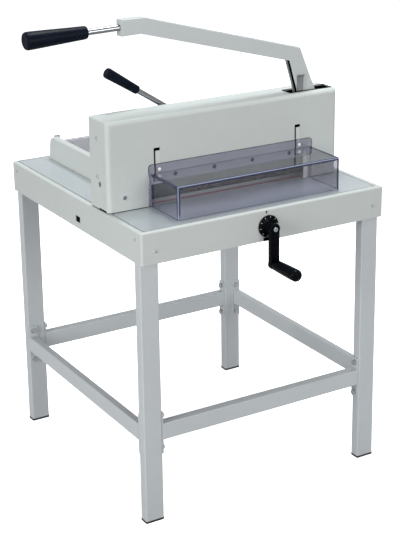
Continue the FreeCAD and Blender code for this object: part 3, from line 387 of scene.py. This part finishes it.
own = {
    "lever_arm": channel_paint(),
    "lead_screw": threaded(),
    "lever_grip": plastic("grip_main", (0.0032, 0.0056, 0.0125), 0.36, 620.0, 1.0, edge_highlight=2.0, spec=0.06),
    "clamp_grip": plastic("grip_clamp", (0.0032, 0.0056, 0.0125), 0.36, 620.0, 1.0, edge_highlight=2.0, spec=0.06),
    "crank_dial": plastic("dial_black", (0.0014, 0.0024, 0.0036), 0.24, 900.0, 0.4, spec=0.06),
    "crank_arm": plastic("crank_black", (0.0010, 0.0016, 0.0026), 0.28, 900.0, 0.4, spec=0.04),
    "crank_handle": plastic("handle_black", (0.0012, 0.0022, 0.0036), 0.30, 700.0, 0.6, spec=0.06),
    "lever_slot_liner": plastic("liner_black", (0.0012, 0.0014, 0.0016), 0.60, 700.0, 1.0, spec=0.02),
    "foot_caps": plastic("foot_black", (0.0080, 0.0082, 0.0085), 0.6, 500.0, 2.0),
    "lever_latch": steel("latch_steel", (0.34, 0.35, 0.36), 0.20, (6.0, 1.0, 0.3), 0.8, oil=0.05),
    # the knife, its carrier and the clamp beam get near-black steel colours, darker than their bare steel: painted
    # shade for the throat they sit in behind the guard
    "knife": steel("knife_ground_shaded", (0.075, 0.085, 0.095), 0.24, (5.0, 5.0, 0.25), 0.8, oil=0.06),
    "knife_carrier": steel("knife_bar", (0.085, 0.095, 0.100), 0.34, (0.3, 5.0, 5.0), 0.8, oil=0.10),
    "knife_bolts": steel("knife_bolt_black", (0.07, 0.07, 0.08), 0.42, (2, 2, 2), 1.0),
    "clamp_beam": steel("clamp_beam_steel_shaded", (0.10, 0.11, 0.115), 0.34, (0.3, 5.0, 5.0), 1.0),
    "guard_screws": steel("guard_screw_bright", (0.93, 0.94, 0.95), 0.34, (2, 2, 2), 0.4, oil=0.0, metallic=0.35),
    "guard_bars": paint("guard_bar_pale", (0.66, 0.68, 0.64), 0.4, 0.5),
    "crank_screw": steel("crank_screw_grey", (0.36, 0.39, 0.42), 0.45, (2, 2, 2), 0.6, oil=0.05),
}
for name, o in NODE.items():
    mat = own.get(name) or MATS[SLOT[name]]
    if not o.material_slots:
        o.data.materials.append(mat)
    for s in o.material_slots:
        s.link = "OBJECT"
        s.material = mat


# ------------------------------------------------------------------ extra visible detail
def mesh_piece(name, bm, mat, body, smooth=False):
    me = bpy.data.meshes.new(name)
    bm.normal_update()
    bm.to_mesh(me)
    bm.free()
    o = bpy.data.objects.new(name, me)
    scene.collection.objects.link(o)
    o.data.materials.append(mat)
    if smooth:
        for p in me.polygons:
            p.use_smooth = True
    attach(o, body)
    return o


def soft_box(bm, lo, hi, r, seg=2):
    """A box with rolled edges, corners in millimetres."""
    a, b = W(*lo), W(*hi)
    g = bmesh.ops.create_cube(bm, size=1.0)
    vs = g["verts"]
    for v in vs:
        v.co = Vector([a[i] if v.co[i] < 0 else b[i] for i in range(3)])
    es = list({e for v in vs for e in v.link_edges})
    bmesh.ops.bevel(bm, geom=es, offset=r / 1000, segments=seg, profile=0.6, affect="EDGES")


# a flat cream strip on the gate face standing in for the right cheek's inner face in the throat: partly the lining's
# own cream, partly painted light for that face, lit brightly from the left
cream_lit = paint("paint_cream_lit_strip", (0.80, 0.80, 0.70), 0.35, 0.4)
bm = bmesh.new()
soft_box(bm, (572.4, 154.9, 768.5), (581.6, 156.6, 838.0), 0.5)
mesh_piece("throat_edge_strip", bm, cream_lit, "machine")

# dial: ten raised marks round the sloping rim
tick_mat = plastic("dial_mark_white", (0.88, 0.90, 0.90), 0.5, 900.0, 0.5, edge_highlight=1.0)
bm = bmesh.new()
c0 = W(350, -16.1 - 0.25, 724.5)
for k in range(10):
    a = math.radians(36 * k + 8)
    rad = Vector((math.cos(a), 0, math.sin(a)))
    tan = Vector((-math.sin(a), 0, math.cos(a)))
    n = (Vector((0, -1, 0)) * 0.0052 + rad * 0.0008).normalized()
    p_in = c0 + rad * 0.0226 + Vector((0, -0.00491, 0))
    p_out = c0 + rad * 0.0266 + Vector((0, -0.00429, 0))
    w = tan * 0.00052
    lowv = [bm.verts.new(p) for p in (p_in - w, p_in + w, p_out + w, p_out - w)]
    topv = [bm.verts.new(v.co + n * 0.00016) for v in lowv]
    bm.faces.new(topv)
    bm.faces.new(lowv[::-1])
    for i in range(4):
        j = (i + 1) % 4
        bm.faces.new((lowv[i], lowv[j], topv[j], topv[i]))
bmesh.ops.recalc_face_normals(bm, faces=bm.faces)
mesh_piece("dial_marks", bm, tick_mat, "crank")

# the fixed mark above the dial
ink = plastic("mark_dark", (0.035, 0.02, 0.02), 0.5, 900.0, 0.3)
bm = bmesh.new()
pts = [(341.8, 763.6), (348.8, 763.6), (346.2, 755.6)]
top = [bm.verts.new(W(x, -16.32, z)) for x, z in pts]
bot = [bm.verts.new(W(x, -16.05, z)) for x, z in pts]
bm.faces.new(top)
bm.faces.new(bot[::-1])
for i in range(3):
    j = (i + 1) % 3
    bm.faces.new((top[i], top[j], bot[j], bot[i]))
bmesh.ops.recalc_face_normals(bm, faces=bm.faces)
mesh_piece("dial_pointer", bm, ink, "machine")

# the small black stop under the dial
bm = bmesh.new()
soft_box(bm, (336.5, -19.6, 687.6), (350.0, -16.0, 695.6), 0.9)
mesh_piece("dial_stop", bm, own["crank_dial"], "machine")

# painted shade: black sheets behind the guard's two slots, standing in for the shade inside them
black = own["lever_slot_liner"]
for tag, x0, x1 in (("left", 127.0, 151.6), ("right", 542.0, 566.4)):
    bm = bmesh.new()
    soft_box(bm, (x0, 160.50, T * 1000 + 58.0), (x1, 160.85, T * 1000 + 151.0), 0.1, 1)
    mesh_piece("slot_shade_sheet_" + tag, bm, black, "machine")

# painted shade: black walls hanging below the lever's slot, so its inside reads dark as shade
bm = bmesh.new()
for lo, hi in (((546.4, 213.15, 974.4), (671.6, 213.75, 994.0)), ((672.2, 178.2, 974.4), (672.9, 213.0, 994.0)),
               ((544.9, 178.2, 974.4), (545.6, 213.0, 994.0)), ((594.0, 176.4, 974.4), (671.6, 177.2, 994.0))):
    soft_box(bm, lo, hi, 0.1, 1)
mesh_piece("slot_shade_walls", bm, black, "machine")

# the dark joint all round the table plate
bm = bmesh.new()
x0, x1, y0, y1 = -3.1 + 12.4, 703.1 - 17.0, -16.1 + 12.4, 726.7 - 12.4
J = 0.95
for lo, hi in (((x0 - J, y0 - J + 0.2, 763.0), (x1 + J, y0 + J - 0.2, 768.26)), ((x0 - J, y1 - J, 763.0), (x1 + J, y1 + J, 768.26)),
               ((x0 - J, y0 + J, 763.0), (x0 + J, y1 - J - 0.01, 768.26)), ((x1 - J, y0 + J, 763.0), (x1 + J, y1 - J - 0.01, 768.26))):
    soft_box(bm, lo, hi, 0.12, 1)
mesh_piece("table_joint", bm, black, "machine")

# black packing strip under the gate cover
GX, GX2, GY = 1.5, 677.7, 156.7
bm = bmesh.new()
for lo, hi in (((GX - 0.12, GY + 11.0, 768.22), (GX + 1.2, 205.0, 773.0)), ((GX - 0.1, 205.02, 768.22), (GX + 1.2, 243.0, 769.6)),
               ((GX + 11.0, GY - 0.1, 768.22), (112.0, GY + 1.2, 769.5)), ((581.8, GY - 0.1, 768.22), (GX2 - 11.0, GY + 1.2, 769.5))):
    soft_box(bm, lo, hi, 0.12, 1)
for cx, a0 in ((GX + 11.0, 180.0), (GX2 - 11.0, 270.0)):
    rings = []
    for k in range(9):
        a = math.radians(a0 + 90.0 * k / 8)
        rings.append([bm.verts.new(W(cx + r * math.cos(a), GY + 11.0 + r * math.sin(a), z)) for r, z in ((11.1, 768.22), (11.1, 769.6), (9.8, 769.6), (9.8, 768.22))])
    for r0, r1 in zip(rings, rings[1:]):
        for i in range(4):
            j = (i + 1) % 4
            bm.faces.new((r0[i], r1[i], r1[j], r0[j]))
    bm.faces.new(rings[0])
    bm.faces.new(rings[-1][::-1])
bmesh.ops.recalc_face_normals(bm, faces=bm.faces)
mesh_piece("gate_packing", bm, black, "machine")

# painted shade: black plate behind the oval hole in the gate's left side, so the hole reads dark as shade
bm = bmesh.new()
soft_box(bm, (3.02, 186.0, 826.0), (3.5, 210.0, 842.0), 0.15, 1)
mesh_piece("oval_shade_plate", bm, black, "machine")

# black socket insert behind the square hole in the table's left edge
bm = bmesh.new()
soft_box(bm, (-2.6, 309.2, 704.2), (-0.9, 332.8, 719.8), 0.4)
mesh_piece("side_insert", bm, own["lever_slot_liner"], "machine")

# ------------------------------------------------------------------ floor, light, camera
floor_m = Mat("floor_pale")
fn = floor_m.noise(1.2, 4.0, 0.5)
floor_m.color(floor_m.mix(floor_m.rng(fn, 0.3, 0.7, 0.0, 1.0), (0.91, 0.91, 0.91), (0.94, 0.94, 0.94)))
floor_m.set(Roughness=0.95, Emission_Color=(1.0, 1.0, 1.0), Emission_Strength=0.86, Specular_IOR_Level=0.1)
glow = floor_m.new("ShaderNodeEmission")
glow.inputs["Strength"].default_value = 0.30
half = floor_m.new("ShaderNodeAddShader")
dim = floor_m.new("ShaderNodeBsdfDiffuse")
dim.inputs["Color"].default_value = (0.34, 0.34, 0.35, 1.0)
fpath = floor_m.new("ShaderNodeLightPath")
first = floor_m.math("LESS_THAN", fpath.outputs["Diffuse Depth"], 0.5)
fclear = floor_m.math("MAXIMUM", fpath.outputs["Is Camera Ray"], floor_m.math("MULTIPLY", fpath.outputs["Is Transmission Ray"], first))
floor_m.link(glow.outputs[0], half.inputs[0])
floor_m.link(dim.outputs[0], half.inputs[1])
gmix = floor_m.new("ShaderNodeMixShader")
floor_m.link(floor_m.math("MULTIPLY", fpath.outputs["Is Glossy Ray"], first), gmix.inputs[0])
floor_m.link(dim.outputs[0], gmix.inputs[1])
floor_m.link(half.outputs[0], gmix.inputs[2])
fmix = floor_m.new("ShaderNodeMixShader")
floor_m.link(fclear, fmix.inputs[0])
floor_m.link(gmix.outputs[0], fmix.inputs[1])
floor_m.link(floor_m.b.outputs[0], fmix.inputs[2])
floor_m.link(fmix.outputs[0], floor_m.out.inputs["Surface"])
bm = bmesh.new()
bmesh.ops.create_circle(bm, cap_ends=True, segments=96, radius=30.0)
me = bpy.data.meshes.new("floor")
bm.to_mesh(me)
bm.free()
floor = bpy.data.objects.new("floor", me)
floor.data.materials.append(floor_m.m)
floor.location = (0, 0, -0.0005)
scene.collection.objects.link(floor)

world = bpy.data.worlds.new("studio")
scene.world = world
world.use_nodes = True
wt = world.node_tree
wpath = wt.nodes.new("ShaderNodeLightPath")


def sky(rgb, strength):
    n = wt.nodes.new("ShaderNodeBackground")
    n.inputs["Color"].default_value = (*rgb, 1.0)
    n.inputs["Strength"].default_value = strength
    return n.outputs[0]


def wmath(op, a, b):
    n = wt.nodes.new("ShaderNodeMath")
    n.operation = op
    for i, v in enumerate((a, b)):
        if isinstance(v, (int, float)):
            n.inputs[i].default_value = v
        else:
            wt.links.new(v, n.inputs[i])
    return n.outputs[0]


def wmix(fac, a, b):
    n = wt.nodes.new("ShaderNodeMixShader")
    for s, v in zip(n.inputs, (fac, a, b)):
        wt.links.new(v, s)
    return n.outputs[0]


# soft ambient light, a brighter white surround in reflections, and white behind and through the guard
clear = wmath("MAXIMUM", wpath.outputs["Is Camera Ray"], wmath("MULTIPLY", wpath.outputs["Is Transmission Ray"], wmath("LESS_THAN", wpath.outputs["Diffuse Depth"], 0.5)))
body = wmix(wpath.outputs["Is Glossy Ray"], sky((0.97, 0.985, 1.0), 0.24), sky((0.97, 0.985, 1.0), 0.66))
wt.links.new(wmix(clear, body, sky((1.0, 1.0, 1.0), 1.05)), wt.nodes["World Output"].inputs["Surface"])


def area(name, loc, target, size, power, color=(1, 1, 1)):
    l = bpy.data.lights.new(name, "AREA")
    l.shape = "RECTANGLE"
    l.size, l.size_y = size
    l.energy = power
    l.color = color
    o = bpy.data.objects.new(name, l)
    o.location = loc
    o.rotation_euler = (Vector(target) - Vector(loc)).to_track_quat("-Z", "Y").to_euler()
    o.visible_camera = False
    o.visible_transmission = False
    scene.collection.objects.link(o)
    return o


area("overhead", (0.45, 0.32, 3.6), (0.0, 0.0, 0.6), (1.1, 1.1), 72.0, (0.93, 0.98, 1.0))
area("left_key", (-4.8, -1.4, 1.75), (0.0, 0.0, 0.8), (2.4, 2.3), 164.0, (0.985, 0.99, 1.0))
area("front_key", (0.9, -5.0, 1.75), (0.0, 0.0, 0.8), (2.8, 2.1), 104.0)
area("back_fill", (4.0, 3.2, 1.9), (0.0, 0.0, 0.8), (2.2, 2.2), 58.0, (0.98, 0.99, 1.0)).visible_glossy = False

cam_d = bpy.data.cameras.new("camera")
cam = bpy.data.objects.new("camera", cam_d)
scene.collection.objects.link(cam)
scene.camera = cam
f, px, py, yaw, pitch, roll, cx, cy, cz = 1432.5576, 227.65, 193.55, -0.5492, 0.3008, -0.0082, -1475.3523, -2809.936, 1843.3249
fwd0 = Vector((-math.sin(yaw), math.cos(yaw), 0))
right = Vector((math.cos(yaw), math.sin(yaw), 0))
up = Vector((0, 0, 1))
fwd = fwd0 * math.cos(pitch) - up * math.sin(pitch)
u2 = up * math.cos(pitch) + fwd0 * math.sin(pitch)
r3 = right * math.cos(roll) + u2 * math.sin(roll)
u3 = u2 * math.cos(roll) - right * math.sin(roll)
cam.matrix_world = Matrix.Translation(W(cx, cy, cz)) @ Matrix((r3, u3, -fwd)).transposed().to_4x4()
cam_d.sensor_fit = "AUTO"
cam_d.sensor_width = 36.0
cam_d.lens = f / 553.0 * 36.0
cam_d.shift_x = -(px - 200.0) / 553.0
cam_d.shift_y = (py - 276.5) / 553.0
cam_d.clip_start, cam_d.clip_end = 0.05, 60.0

scene.view_settings.view_transform = "Standard"
scene.view_settings.look = "None"
scene.view_settings.exposure = 0.0
scene.view_settings.gamma = 1.0
